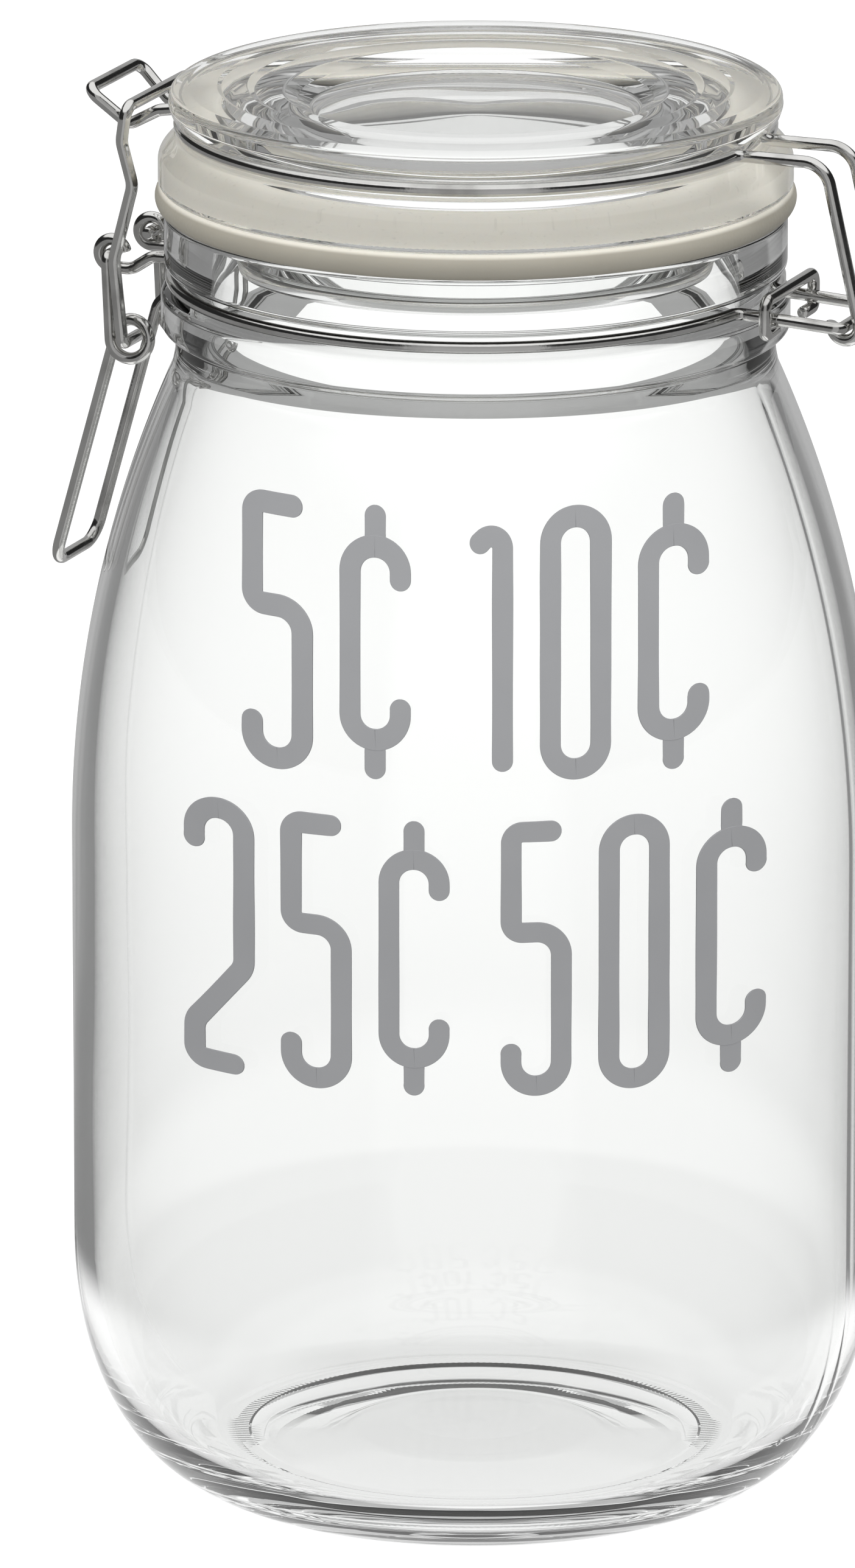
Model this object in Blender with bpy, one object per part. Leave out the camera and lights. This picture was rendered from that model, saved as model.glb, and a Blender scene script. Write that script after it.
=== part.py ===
"""Clip-top glass coin jar: turned glass body and lid, rubber ring, wire latch and printed coin values.

Metres, +Z up.  The origin is on the jar's axis, on the surface that it stands on.
The latch is on the -X side and the lid's hinge on the +X side.
"""

from math import asin, atan2, ceil, cos, degrees, hypot, pi, radians, sin, sqrt, tan

import bmesh
import bpy
from mathutils import Matrix, Vector

MM = 0.001

# ---- Driving dimensions, in millimetres ----
GAP = 0.3                   # between pieces that touch
SEGMENTS = 40               # round the glass and the rubber ring

BODY_R = 65.0
WALL = 3.2
HEEL_TOP = 41.0             # where the rounded heel meets the straight wall
HEEL_R = 38.0               # where the heel's curve meets the base
INNER_HEEL_R = 43.0         # the same, inside the jar
HEEL_POWER = 2.15           # how full the heel's curve is; 2 is an ellipse
FLOOR_Z = 7.5
FOOT_INNER, FOOT_OUTER = 36.6, 40.0
SHOULDER_START, SHOULDER_END = 108.0, 185.5
SHOULDER_ARC = 190.0
BEAD_R = 50.3
NECK_GROOVE_R = 47.0
RIM_R, RIM_TOP = 49.8, 211.0
MOUTH_R = 42.2

RUBBER_INNER, RUBBER_OUTER = 40.6, 51.2
RUBBER_BOTTOM, RUBBER_TOP = RIM_TOP + GAP, 215.0
SEAT_SLOPE = 0.35           # how fast the faces that squeeze the ring rise towards the axis

LID_UNDER = RUBBER_TOP + GAP
LID_TOP = 231.0
LID_R, LID_FLANGE_R = 49.0, 50.7
LID_GROOVE_R = 45.9
PLUG_R, PLUG_BOTTOM = 39.6, 203.0

WIRE_R = 1.0
EYE_R = 2.0 * WIRE_R + GAP  # an eye's centre line, round a pin of the same wire
COIL_R = 3.1                # the looser coil at the lever's elbow
COLLAR_R, COLLAR_Z = 48.6, 199.9
LID_WIRE_R, LID_WIRE_Z = 47.2, 224.9

# The pivots, in the plane Y = 0
LEVER_PIVOT = Vector((-59.6, 0.0, 199.8))
LINK_PIVOT = Vector((-55.9, 0.0, 186.2))
LID_PIVOT = Vector((65.4, 0.0, 198.9))

# How far each pair of wire legs stands from the plane Y = 0
COLLAR_EYE_Y = 8.1
CRANK_Y = 10.5
HANDLE_Y = 8.2
LINK_Y = 12.9
LID_ARM_Y = 8.5
TAB_Y = 10.4
HINGE_ARM_Y = 8.4
LID_LEG_Y = 6.0
CLIP_Y = 10.8
PIN_END = 2.2               # how far a pin reaches past the middle of its eye

# Printed coin values, centred on the direction that the jar is seen from
PRINT_TURN = radians(22.0)
PRINT_STROKE = 3.3
PRINT_THICKNESS = 0.3
GLYPH_WIDTH = 11.2
PRINT_BEND = 1.8            # at the corners of a stroke; over half the stroke
TICK = 4.5                  # how far a cent sign's ticks reach past its cup
ONE_WIDTH = 8.0
GLYPH_SPACE = 4.2
VALUE_SPACE = 8.0
TOP_ROW = (133.3, 175.0)    # bottom and top heights
BOTTOM_ROW = (82.3, 127.0)


# ---- Scene and materials ----
def clear_scene():
    for item in list(bpy.data.objects):
        bpy.data.objects.remove(item, do_unlink=True)


def make_material(name, colour, roughness, metallic=0.0, transmission=0.0):
    material = bpy.data.materials.new(name)
    material.use_nodes = True
    shader = material.node_tree.nodes["Principled BSDF"]
    shader.inputs["Base Color"].default_value = (*colour, 1.0)
    shader.inputs["Roughness"].default_value = roughness
    shader.inputs["Metallic"].default_value = metallic
    shader.inputs["Transmission Weight"].default_value = transmission
    return material


def add_object(name, data, material, origin):
    data.materials.append(material)
    item = bpy.data.objects.new(name, data)
    item.location = origin * MM
    bpy.context.collection.objects.link(item)
    return item


# ---- Turned pieces ----
def arc(centre, radius, start, end, steps):
    """Points on a circle in the (radius, height) plane, angles in degrees."""
    angles = [radians(start + (end - start) * i / steps) for i in range(steps + 1)]
    return [(centre[0] + radius * cos(a), centre[1] + radius * sin(a)) for a in angles]


def heel_curve(start_r, end_r, bottom, steps):
    """The heel from the base out to the wall, without its two end points."""
    points = []
    for i in range(1, steps):
        angle = 0.5 * pi * i / steps
        out = start_r + (end_r - start_r) * sin(angle) ** (2.0 / HEEL_POWER)
        points.append((out, HEEL_TOP - (HEEL_TOP - bottom) * cos(angle) ** (2.0 / HEEL_POWER)))
    return points


def wall_radius(z):
    """The outer radius of the glass on its straight wall and shoulder."""
    rise = max(0.0, z - SHOULDER_START)
    return BODY_R - SHOULDER_ARC + sqrt(SHOULDER_ARC ** 2 - rise ** 2)


def shoulder_curve(inset, steps):
    levels = [SHOULDER_START + (SHOULDER_END - SHOULDER_START) * i / steps for i in range(steps + 1)]
    return [(wall_radius(z) - inset, z) for z in levels]


def turned_solid(name, outline, material, origin=Vector()):
    """Spin an outline of (radius, height) points, listed from the bottom or the axis outwards."""
    mesh_builder = bmesh.new()
    verts = [mesh_builder.verts.new((r * MM, 0.0, z * MM)) for r, z in outline]
    on_axis = outline[0][0] == 0.0 and outline[-1][0] == 0.0
    closing = [] if on_axis else [(verts[-1], verts[0])]
    edges = [mesh_builder.edges.new(pair) for pair in [*zip(verts, verts[1:]), *closing]]
    bmesh.ops.spin(mesh_builder, geom=[*verts, *edges], cent=(0, 0, 0), axis=(0, 0, 1),
                   angle=2.0 * pi, steps=SEGMENTS, use_merge=True)
    bmesh.ops.remove_doubles(mesh_builder, verts=mesh_builder.verts, dist=0.00001)
    bmesh.ops.recalc_face_normals(mesh_builder, faces=mesh_builder.faces)
    bmesh.ops.translate(mesh_builder, verts=mesh_builder.verts, vec=-origin * MM)
    mesh = bpy.data.meshes.new(name)
    mesh_builder.to_mesh(mesh)
    mesh_builder.free()
    mesh.shade_smooth()
    mesh.set_sharp_from_angle(angle=radians(35))
    return add_object(name, mesh, material, origin)


def seat(r, z):
    """The height at a radius of a face that meets the ring's straight part, from its height outside."""
    return z + SEAT_SLOPE * (RUBBER_OUTER - 0.5 * (RUBBER_TOP - RUBBER_BOTTOM) - r)


def jar_outline():
    base = [(0.0, 3.2), (20.0, 2.6), (35.0, 0.8), (FOOT_INNER, 0.0), (FOOT_OUTER, 0.0)]
    heel = [p for p in heel_curve(HEEL_R, BODY_R, 0.0, 7) if p[0] > FOOT_OUTER + 1.0]
    neck = [(48.0, 188.0), (48.1, 191.4), (49.4, 192.0), (BEAD_R, 193.4), (BEAD_R, 196.8),
            (49.8, 197.9), (48.7, 198.5), (NECK_GROOVE_R, 198.6)]
    rim = [(NECK_GROOVE_R, 201.6), (48.7, 201.9), (49.5, 202.7), (RIM_R, 203.8), (RIM_R, 209.6),
           (49.5, 210.5), (48.8, seat(48.8, RIM_TOP)), (43.6, seat(43.6, RIM_TOP)),
           (42.6, seat(43.6, RIM_TOP) - 0.3), (MOUTH_R, seat(43.6, RIM_TOP) - 1.2)]
    inside = [(MOUTH_R, 193.0), *reversed(shoulder_curve(WALL, 5))]
    inner_heel = heel_curve(INNER_HEEL_R, BODY_R - WALL, FLOOR_Z, 6)
    floor = [(BODY_R - WALL, HEEL_TOP), *reversed(inner_heel), (INNER_HEEL_R, FLOOR_Z), (0.0, FLOOR_Z)]
    return [*base, *heel, (BODY_R, HEEL_TOP), *shoulder_curve(0.0, 6), *neck, *rim, *inside, *floor]


def rubber_outline():
    middle = 0.5 * (RUBBER_BOTTOM + RUBBER_TOP)
    bulge = 0.5 * (RUBBER_TOP - RUBBER_BOTTOM)
    edge = arc((RUBBER_OUTER - bulge, middle), bulge, -75, 75, 5)
    return [(RUBBER_INNER, seat(RUBBER_INNER, RUBBER_BOTTOM)), (RUBBER_OUTER - bulge, RUBBER_BOTTOM), *edge,
            (RUBBER_OUTER - bulge, RUBBER_TOP), (RUBBER_INNER, seat(RUBBER_INNER, RUBBER_TOP))]


def lid_outline():
    under = [(0.0, 222.6), (25.5, 222.4), (30.0, 220.2), (32.4, 216.0), (33.6, 206.0), (34.3, 203.7),
             (35.4, PLUG_BOTTOM), (37.3, PLUG_BOTTOM), (38.4, 203.7), (39.0, 206.0),
             (PLUG_R, 217.0), (PLUG_R + 0.3, seat(PLUG_R + 0.3, LID_UNDER))]
    flange = [(49.3, LID_UNDER), (50.2, 215.4), (LID_FLANGE_R, 216.2), (LID_FLANGE_R, 218.8), (50.3, 220.5),
              (49.3, 222.0), (47.9, 223.1), (LID_GROOVE_R, 223.5), (LID_GROOVE_R, 226.2)]
    crown = [(47.6, 226.4), (48.6, 227.1), (LID_R, 228.4), (48.7, 229.7), (47.6, 230.6), (45.8, LID_TOP),
             (36.2, LID_TOP), (35.0, 230.3), (30.6, 230.1), (28.4, 228.9), (26.6, 227.7), (23.5, 227.3)]
    return [*under, *flange, *crown, (0.0, 227.3)]


# ---- Bent wires ----
def rounded_corner(before, corner, after, radius):
    """Points of a bend that replaces a sharp corner of a wire."""
    back, ahead = (before - corner).normalized(), (after - corner).normalized()
    half = 0.5 * back.angle(ahead)
    steps = max(2, ceil((pi - 2.0 * half) / radians(24)))
    centre = corner + (back + ahead).normalized() * (radius / sin(half))
    start = corner + back * (radius / tan(half)) - centre
    axis = (-back).cross(ahead).normalized()
    turns = [Matrix.Rotation((pi - 2.0 * half) * i / steps, 3, axis) for i in range(steps + 1)]
    return [centre + turn @ start for turn in turns]


def bent_path(corners):
    """A wire's centre line from (point, bend radius) pairs; a radius of 0 keeps the point."""
    path = []
    for i, (point, radius) in enumerate(corners):
        if radius > 0.0:
            path += rounded_corner(corners[i - 1][0], point, corners[i + 1][0], radius)
        else:
            path.append(point)
    return path


def mirrored(corners):
    """The whole wire from its half on the -Y side, which is listed up to the plane Y = 0."""
    other = [(Vector((p.x, -p.y, p.z)), radius) for p, radius in reversed(corners)]
    return [*corners, *other]


def ring_arc(radius, z, start, end):
    """Corners on a round wire on the -Y side; angles in radians from +X, seen from above."""
    steps = ceil(abs(end - start) * SEGMENTS / (2.0 * pi))
    angles = [start + (end - start) * i / steps for i in range(steps + 1)]
    return [(Vector((radius * cos(a), -radius * sin(a), z)), 0.0) for a in angles]


def eye(centre, y, start, end, y_end=None, radius=EYE_R):
    """Corners on an eye round a pivot, seen along +Y; angles in degrees from +X towards +Z."""
    y_end = y if y_end is None else y_end
    steps = ceil(abs(end - start) / 30.0)
    corners = []
    for i in range(steps + 1):
        angle = radians(start + (end - start) * i / steps)
        side = y + (y_end - y) * i / steps
        corners.append((Vector((centre.x + radius * cos(angle), side, centre.z + radius * sin(angle))), 0.0))
    return corners


def bent_wire(name, corners, material, origin=Vector()):
    curve = bpy.data.curves.new(name, "CURVE")
    curve.dimensions = "3D"
    curve.bevel_depth = WIRE_R * MM
    curve.bevel_resolution = 2
    curve.use_fill_caps = True
    path = bent_path(corners)
    spline = curve.splines.new("POLY")
    spline.points.add(len(path) - 1)
    for point, place in zip(spline.points, path):
        point.co = (*((place - origin) * MM), 1.0)
    return add_object(name, curve, material, origin)


def ring_between(radius, z, first_y, last_y):
    """A round wire on the -Y side, from the latch arm at first_y to the hinge arm at last_y."""
    latch, hinge = asin(first_y / radius), asin(last_y / radius)
    room = radians(4.0)                         # that each bend takes from the ring
    ring = ring_arc(radius, z, pi - latch - room, hinge + room)
    start = (Vector((-radius * cos(latch), -first_y, z)), 2.0)
    end = (Vector((radius * cos(hinge), -last_y, z)), 2.0)
    return [start, *ring, end]


def collar_corners():
    """Latch eye and arm, round the neck, then the hinge arm, up to the middle of the hinge bar."""
    under_eye = Vector((LEVER_PIVOT.x, -COLLAR_EYE_Y, LEVER_PIVOT.z - EYE_R))
    latch = [*eye(LEVER_PIVOT, -COLLAR_EYE_Y, 10, 270), (under_eye + Vector((3.4, 0, 0)), 3.0),
             (Vector((-52.6, -COLLAR_EYE_Y, COLLAR_Z)), 3.0)]
    ring = ring_between(COLLAR_R, COLLAR_Z, COLLAR_EYE_Y, HINGE_ARM_Y)
    return mirrored([*latch, *ring, (LID_PIVOT + Vector((0, -HINGE_ARM_Y, 0)), 1.2)])


def lid_wire_corners():
    """Hinge eye and leg, round the lid's groove, then the latch arm and half of the thumb tab."""
    hinge = [*eye(LID_PIVOT, -LID_LEG_Y, 165, 373), (Vector((61.8, -LID_LEG_Y, LID_WIRE_Z)), 4.5)]
    ring = ring_between(LID_WIRE_R, LID_WIRE_Z, LID_ARM_Y, LID_LEG_Y)
    tab = [(Vector((-51.2, -LID_ARM_Y, 224.2)), 3.0), (Vector((-56.4, -LID_ARM_Y, 221.4)), 1.6),
           (Vector((-62.8, -TAB_Y, 227.0)), 1.8)]
    return mirrored([*hinge, *reversed(ring), *tab])


def link_corners():
    """Pin through the lever's coil, leg with its inward jog, and half of the crossbar."""
    foot = LINK_PIVOT + Vector((0, -LINK_Y, 0))
    pin_end = foot + Vector((0, LINK_Y - HANDLE_Y + PIN_END, 0))
    leg = [(foot, 1.1), (Vector((-57.3, -LINK_Y, 200.0)), 5.0), (Vector((-54.0, -LINK_Y, 212.5)), 4.0),
           (Vector((-55.9, -LINK_Y, 219.5)), 4.0), (Vector((-55.1, -LINK_Y, 225.2)), 2.2)]
    return mirrored([(pin_end, 0.0), *leg])


def lever_corners():
    """Pivot pin, crank, one turn of coil round the link's pin, and half of the handle."""
    pivot = LEVER_PIVOT + Vector((0, -CRANK_Y, 0))
    pin_end = LEVER_PIVOT + Vector((0, PIN_END - COLLAR_EYE_Y, 0))
    tip = Vector((-70.1, -HANDLE_Y, 147.5))
    crank, handle = LINK_PIVOT - LEVER_PIVOT, tip - LINK_PIVOT
    start = side_angle(crank) - degrees(asin(COIL_R / hypot(crank.x, crank.z)))
    end = side_angle(handle) + degrees(asin(COIL_R / hypot(handle.x, handle.z))) + 360.0
    coil = eye(LINK_PIVOT, -CRANK_Y, start, end, -HANDLE_Y, COIL_R)
    return mirrored([(pin_end, 0.0), (pivot, 1.1), *coil, (tip, 3.6)])


def side_angle(direction):
    """Where an eye's centre line runs in a direction, as an angle from +X towards +Z."""
    return degrees(atan2(-direction.x, direction.z)) % 360.0


def clip_corners():
    """Bar across the hinge arms, with an end that hooks under each arm."""
    x, low, high = 53.6, 197.2, 202.8
    return mirrored([(Vector((x, 2.6 - HINGE_ARM_Y, low)), 0.0), (Vector((x, -CLIP_Y, low)), 1.1),
                     (Vector((x, -CLIP_Y, high)), 1.6)])


# ---- Printed coin values ----
def on_glass(u, z, lift):
    """A point in front of the glass: u across the view of the print, z up, lift off the glass."""
    radius = wall_radius(z)
    turn = PRINT_TURN + asin(u / radius)
    return Vector(((radius + lift) * sin(turn), -(radius + lift) * cos(turn), z)) * MM


def stroke_path(corners):
    """The middle of a printed stroke, as (across, up) points no more than 5 mm apart."""
    bent = bent_path([(Vector((u, v, 0.0)), radius) for u, v, radius in corners])
    path = [bent[0]]
    for point in bent[1:]:
        start = path[-1]
        steps = max(1, ceil((point - start).length / 5.0))
        path += [start.lerp(point, (i + 1) / steps) for i in range(steps)]
    return path


def rounded_end(last, end):
    """(point, half width) over the final half stroke of a straight run, ending in half a circle."""
    half = 0.5 * PRINT_STROKE
    back = (last - end).normalized()
    return [(end + back * (half * (1.0 - cos(a))), half * sin(a)) for a in (radians(90), radians(60), radians(30))]


def stroke_body(mesh_builder, path, place, first_ring=None):
    """Add one printed stroke. It closes on itself, starts at a ring of corners, or has two round ends.

    The rings come back, each as (left low, right low, right high, left high) along the stroke.
    """
    half = 0.5 * PRINT_STROKE
    closed = (path[0] - path[-1]).length < 0.01
    sections = [(p, half) for p in path[1:-1]]
    if closed:
        sections.append((path[-1], half))
    else:
        sections += rounded_end(path[-2], path[-1])
        if first_ring is None:
            sections = rounded_end(path[1], path[0])[::-1] + sections
    count = len(sections)
    rings = []
    for i, (point, half_width) in enumerate(sections):
        before = sections[i - 1][0] if closed or i > 0 else path[0]
        after = sections[(i + 1) % count][0] if closed or i < count - 1 else path[-1]
        ahead = (after - before).normalized()
        side = Vector((-ahead.y, ahead.x, 0.0)) * half_width
        low, high = GAP, GAP + PRINT_THICKNESS
        corners = [(point + side, low), (point - side, low), (point - side, high), (point + side, high)]
        rings.append([mesh_builder.verts.new(on_glass(*(place + p).xy, lift)) for p, lift in corners])
    if first_ring is not None:
        rings.insert(0, first_ring)
    for a, b in list(zip(rings, rings[1:])) + ([(rings[-1], rings[0])] if closed else []):
        for k in range(4):
            mesh_builder.faces.new((a[k], a[(k + 1) % 4], b[(k + 1) % 4], b[k]))
    if not closed:
        mesh_builder.faces.new(rings[-1])
        if first_ring is None:
            mesh_builder.faces.new(rings[0])
    return rings


def glyph_stroke(glyph, width, height):
    """The one stroke of a numeral, a list of (across, up, bend radius) corners."""
    x, low, high = 0.5 * (width - PRINT_STROKE), 0.5 * PRINT_STROKE, height - 0.5 * PRINT_STROKE
    bend = x - 0.05
    if glyph == "0":
        side = (x, 0.5 * height, 0)
        return [side, (x, high, bend), (-x, high, bend), (-x, low, bend), (x, low, bend), side]
    if glyph == "1":
        return [(-x, high - 4.6, 0), (x, high, PRINT_BEND), (x, low, 0)]
    if glyph == "2":
        return [(-x, high - 7.0, 0), (-x, high, bend), (x, high, bend), (x, 0.4 * height, 3.5),
                (-x, low + 6.0, 3.5), (-x, low, PRINT_BEND), (x, low, 0)]
    middle = 0.6 * height
    return [(x, high, 0), (-x, high, PRINT_BEND), (-x, middle, PRINT_BEND), (x, middle, bend), (x, low, bend),
            (-x, low, bend), (-x, low + 7.0, 0)]


def cent_sign(mesh_builder, width, height, place):
    """A tall open cup with a tick at its top and bottom; each tick grows from the cup's outer wall."""
    x, low, high = 0.5 * (width - PRINT_STROKE), 0.5 * PRINT_STROKE, height - 0.5 * PRINT_STROKE
    beside = 15.5           # degrees between the middle of a tick and the cup's section at its side
    top, bottom = (0.0, high - TICK - x), (0.0, low + TICK + x)
    upper = [arc(top, x, 0.0, 90.0 - beside, 5), arc(top, x, 90.0 + beside, 180.0, 5)]
    lower = [arc(bottom, x, 180.0, 270.0 - beside, 5), arc(bottom, x, 270.0 + beside, 360.0, 5)]
    sides = [(-x, top[1] + (bottom[1] - top[1]) * t) for t in (0.25, 0.5, 0.75)]
    cup = [(x, high - 11.0), *upper[0], *upper[1], *sides, *lower[0], *lower[1], (x, low + 11.0)]
    rings = stroke_body(mesh_builder, [Vector((u, v, 0.0)) for u, v in cup], place)
    for v, end in ((high - TICK, height), (low + TICK, 0.0)):
        at_tick = on_glass(*(place + Vector((0.0, v, 0.0))).xy, GAP)
        a, b = min(zip(rings, rings[1:]), key=lambda pair: (pair[0][1].co + pair[1][1].co - 2.0 * at_tick).length)
        mesh_builder.faces.remove(mesh_builder.faces.get((a[1], a[2], b[2], b[1])))
        path = [Vector((0.0, v, 0.0)), Vector((0.0, end, 0.0))]
        stroke_body(mesh_builder, path, place, (b[1], a[1], a[2], b[2]))


def print_glyph(name, glyph, height, middle, bottom, material):
    """One printed numeral or cent sign."""
    mesh_builder = bmesh.new()
    place = Vector((middle, bottom, 0.0))
    width = glyph_width(glyph)
    if glyph == "c":
        cent_sign(mesh_builder, width, height, place)
    else:
        stroke_body(mesh_builder, stroke_path(glyph_stroke(glyph, width, height)), place)
    bmesh.ops.recalc_face_normals(mesh_builder, faces=mesh_builder.faces)
    bmesh.ops.triangulate(mesh_builder, faces=mesh_builder.faces)
    mesh = bpy.data.meshes.new(name)
    mesh_builder.to_mesh(mesh)
    mesh_builder.free()
    add_object(name, mesh, material, Vector())


def glyph_width(glyph):
    return ONE_WIDTH if glyph == "1" else GLYPH_WIDTH


def print_row(row_name, values, bottom, top, material):
    """A centred row of coin values, each glyph its own piece of print."""
    glyphs = "".join(values)
    u = -0.5 * (sum(glyph_width(g) for g in glyphs) + GLYPH_SPACE * (len(glyphs) - len(values))
                + VALUE_SPACE * (len(values) - 1))
    number = 0
    for value in values:
        for glyph in value:
            number += 1
            middle = u + 0.5 * glyph_width(glyph)
            print_glyph(f"print_{row_name}_{number}", glyph, top - bottom, middle, bottom, material)
            u += glyph_width(glyph) + GLYPH_SPACE
        u += VALUE_SPACE - GLYPH_SPACE


def build():
    clear_scene()
    glass = make_material("clear_glass", (0.95, 0.97, 0.96), 0.02, transmission=1.0)
    rubber = make_material("cream_rubber", (0.60, 0.57, 0.49), 0.55)
    steel = make_material("bright_steel_wire", (0.66, 0.66, 0.65), 0.18, metallic=1.0)
    vinyl = make_material("grey_print", (0.31, 0.32, 0.33), 0.5)

    turned_solid("jar_body_glass", jar_outline(), glass)
    turned_solid("lid_glass", lid_outline(), glass, LID_PIVOT)
    turned_solid("seal_ring", rubber_outline(), rubber, LID_PIVOT)
    bent_wire("neck_collar_wire", collar_corners(), steel)
    bent_wire("hinge_clip_wire", clip_corners(), steel)
    bent_wire("lid_bail_wire", lid_wire_corners(), steel, LID_PIVOT)
    bent_wire("latch_link_wire", link_corners(), steel, LINK_PIVOT)
    bent_wire("latch_lever_wire", lever_corners(), steel, LEVER_PIVOT)
    print_row("top", ("5c", "10c"), *TOP_ROW, vinyl)
    print_row("bottom", ("25c", "50c"), *BOTTOM_ROW, vinyl)


build()
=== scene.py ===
"""Looks of the clip-top coin jar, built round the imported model.

Metres, +Z up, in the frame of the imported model.  Lengths in this file are millimetres until MM scales them.
"""

from math import asin, atan2, ceil, cos, degrees, hypot, pi, radians, sin, sqrt, tan

import bmesh
import bpy
from mathutils import Matrix, Vector, noise


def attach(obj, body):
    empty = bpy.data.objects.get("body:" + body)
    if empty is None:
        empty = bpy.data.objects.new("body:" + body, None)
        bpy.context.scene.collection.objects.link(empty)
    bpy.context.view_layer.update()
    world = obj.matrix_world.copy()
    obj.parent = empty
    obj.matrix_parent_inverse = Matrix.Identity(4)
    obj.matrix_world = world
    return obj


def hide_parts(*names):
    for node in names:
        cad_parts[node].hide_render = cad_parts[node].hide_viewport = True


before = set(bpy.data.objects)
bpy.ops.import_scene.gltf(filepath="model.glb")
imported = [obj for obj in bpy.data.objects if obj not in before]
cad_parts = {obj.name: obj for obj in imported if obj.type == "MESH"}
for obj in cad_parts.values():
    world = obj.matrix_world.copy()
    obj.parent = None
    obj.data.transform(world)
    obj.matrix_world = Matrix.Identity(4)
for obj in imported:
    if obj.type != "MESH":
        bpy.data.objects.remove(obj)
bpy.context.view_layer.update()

MM = 0.001

# ---- Camera, at the photograph's viewing angle ----
VIEW_TURN = radians(22.0)       # from -Y towards +X
CAMERA_DISTANCE = 2479.4        # from the jar's axis, along the floor
CAMERA_HEIGHT = 805.6
LENS = 672.7                    # on a sensor 36 mm wide
AIM_HEIGHT = 115.4
AIM_LEFT = 7.7                  # how far left of the axis the camera aims


# ---- Light, floor and surroundings (metres and shares of white) ----
OVERHEAD_STRENGTH = 3.3
OVERHEAD_SPREAD, OVERHEAD_TILT = radians(60.0), radians(18.0)
FLOOR_RADIUS, FLOOR_DROP = 9.0, 0.0002
FLOOR_WHITE = (0.93, 0.93, 0.93, 1.0)
FLOOR_UNDER_GLASS = (0.79, 0.79, 0.79, 1.0)     # near the jar, seen through it
FLOOR_MATTE = (0.14, 0.14, 0.14, 1.0)           # what takes the overhead light
ROOM_WHITE = (1.0, 1.0, 1.0, 1.0)
DARK = (0.02, 0.02, 0.02, 1.0)
SIDES_START, SIDES_END = 0.40, 0.48             # how far to the side the dark sides begin
FLOOR_DARK_START, FLOOR_DARK_END = 0.11, 0.16   # from the jar's axis
FLOOR_NEAR_START, FLOOR_NEAR_END = 0.15, 0.55
ROOM_DARK_START, ROOM_DARK_END = 0.55, 0.70     # upward share of a direction where the dark ends
FLOOR_DARKNESS, ROOM_DARKNESS = 0.78, 0.6       # in front and behind; 1 at the sides

# ---- Glass ----
JAR_SEGMENTS = 456              # two to each tooth of the foot ring
LID_SEGMENTS, RUBBER_SEGMENTS = 288, 240
OUTLINE_STEP = 8.0              # degrees between the points of a rounded corner
BODY_R, WALL = 65.0, 3.2
HEEL_TOP, HEEL_R, INNER_HEEL_R, HEEL_POWER = 41.0, 38.0, 43.0, 2.15
FLOOR_Z = 7.5
FOOT_INNER, FOOT_OUTER, TOOTH_DEPTH = 36.8, 40.4, 0.22
SEAM_HEIGHT, SEAM_WIDTH = 0.12, 0.9
UPRIGHT_START, UPRIGHT_END = 25.0, 65.0         # where the inner face turns from heel to wall
HEEL_WAVES, WALL_WAVES, LID_WAVES = 0.03, 0.16, 0.04    # how uneven the glass is
SHOULDER_START, SHOULDER_END, SHOULDER_ARC = 108.0, 185.5, 190.0
NECK_GROOVE_R, BEAD_R, RIM_R, RIM_TOP, MOUTH_R = 47.0, 50.3, 49.8, 211.0, 42.2
RUBBER_INNER, RUBBER_OUTER, RUBBER_BOTTOM, RUBBER_TOP = 40.6, 51.2, 210.9, 215.4
LID_UNDER, LID_TOP, LID_R, LID_FLANGE_R, LID_GROOVE_R = 215.3, 231.0, 49.0, 50.7, 45.9
PLUG_R, PLUG_BOTTOM = 39.6, 203.0
SEAT_SLOPE, SEAT_START = 0.35, 49.35    # the faces that squeeze the ring rise towards the axis

# ---- Wires ----
WIRE_R = 1.0
EYE_R = 2.3                     # an eye's centre line, round a pin of the same wire
COIL_R = 3.1
COLLAR_R, COLLAR_Z = 48.6, 199.9
LID_WIRE_R, LID_WIRE_Z = 47.2, 224.9
LEVER_PIVOT = Vector((-59.6, 0.0, 199.8))
LINK_PIVOT = Vector((-55.9, 0.0, 186.2))
LID_PIVOT = Vector((65.4, 0.0, 198.9))
COLLAR_EYE_Y, CRANK_Y, HANDLE_Y, LINK_Y = 8.1, 10.5, 8.2, 12.9
LID_ARM_Y, TAB_Y, HINGE_ARM_Y, LID_LEG_Y, CLIP_Y = 8.5, 10.4, 8.4, 6.0, 10.8
PIN_END = 2.2                   # how far a pin reaches past the middle of its eye
WIRE_SIDES, WIRE_STEP = 20, 6.0
CUT_END = ((0.0, 0.72), (0.12, 0.93), (0.3, 1.0))       # (depth, share of the full size)

# ---- Print ----
PRINT_STROKE = 3.3
PRINT_LIFT, PRINT_THICKNESS, PRINT_SOFT_EDGE = 0.06, 0.22, 0.06
PRINT_BEND, TICK, TICK_INSET = 1.8, 4.5, 0.02
GLYPH_WIDTH, ONE_WIDTH, GLYPH_SPACE, VALUE_SPACE = 11.2, 8.0, 4.2, 8.0
TOP_ROW, BOTTOM_ROW = (133.3, 175.0), (82.3, 127.0)


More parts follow.
